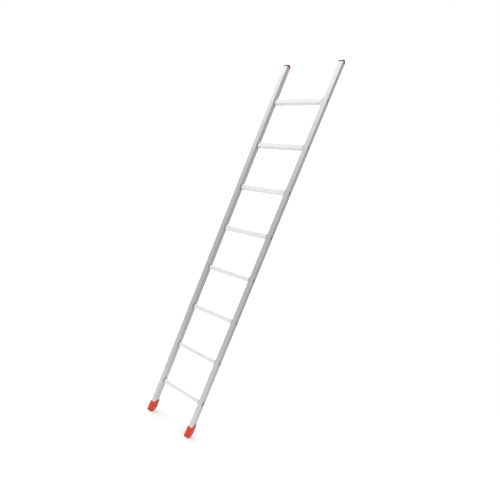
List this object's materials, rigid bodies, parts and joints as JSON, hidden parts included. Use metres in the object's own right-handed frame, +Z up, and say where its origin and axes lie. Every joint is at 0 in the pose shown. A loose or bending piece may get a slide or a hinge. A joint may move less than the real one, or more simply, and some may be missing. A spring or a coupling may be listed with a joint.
{
  "type": "straight ladder",
  "caption": "Straight single-section aluminium ladder: box stiles, square swaged rungs, wrap-round orange feet and sloped orange top caps.",
  "frame": {"origin": "on the ground under the middle of the ladder, at the centre of the bottom of its box", "axes": "+Z up along the stiles, +X along the rungs towards the right stile, -Y towards the climber"},
  "size_m": [0.3498, 0.0654, 2.4436],
  "materials": {
    "stile_aluminium": "mill-finish extrusion, fine lengthwise lines",
    "rung_aluminium": "mill-finish extrusion, ribbed tread",
    "orange_plastic": "moulded, fine texture",
    "rivet_aluminium": "plain"
  },
  "bodies": {
    "root": {"left_stile": "stile_aluminium", "right_stile": "stile_aluminium", "rung_1": "rung_aluminium", "rung_2": "rung_aluminium", "rung_3": "rung_aluminium", "rung_4": "rung_aluminium", "rung_5": "rung_aluminium", "rung_6": "rung_aluminium", "rung_7": "rung_aluminium", "rung_8": "rung_aluminium", "left_foot": "orange_plastic", "right_foot": "orange_plastic", "left_foot_rivet": "rivet_aluminium", "right_foot_rivet": "rivet_aluminium", "left_top_cap": "orange_plastic", "right_top_cap": "orange_plastic"}
  },
  "joints": []
}
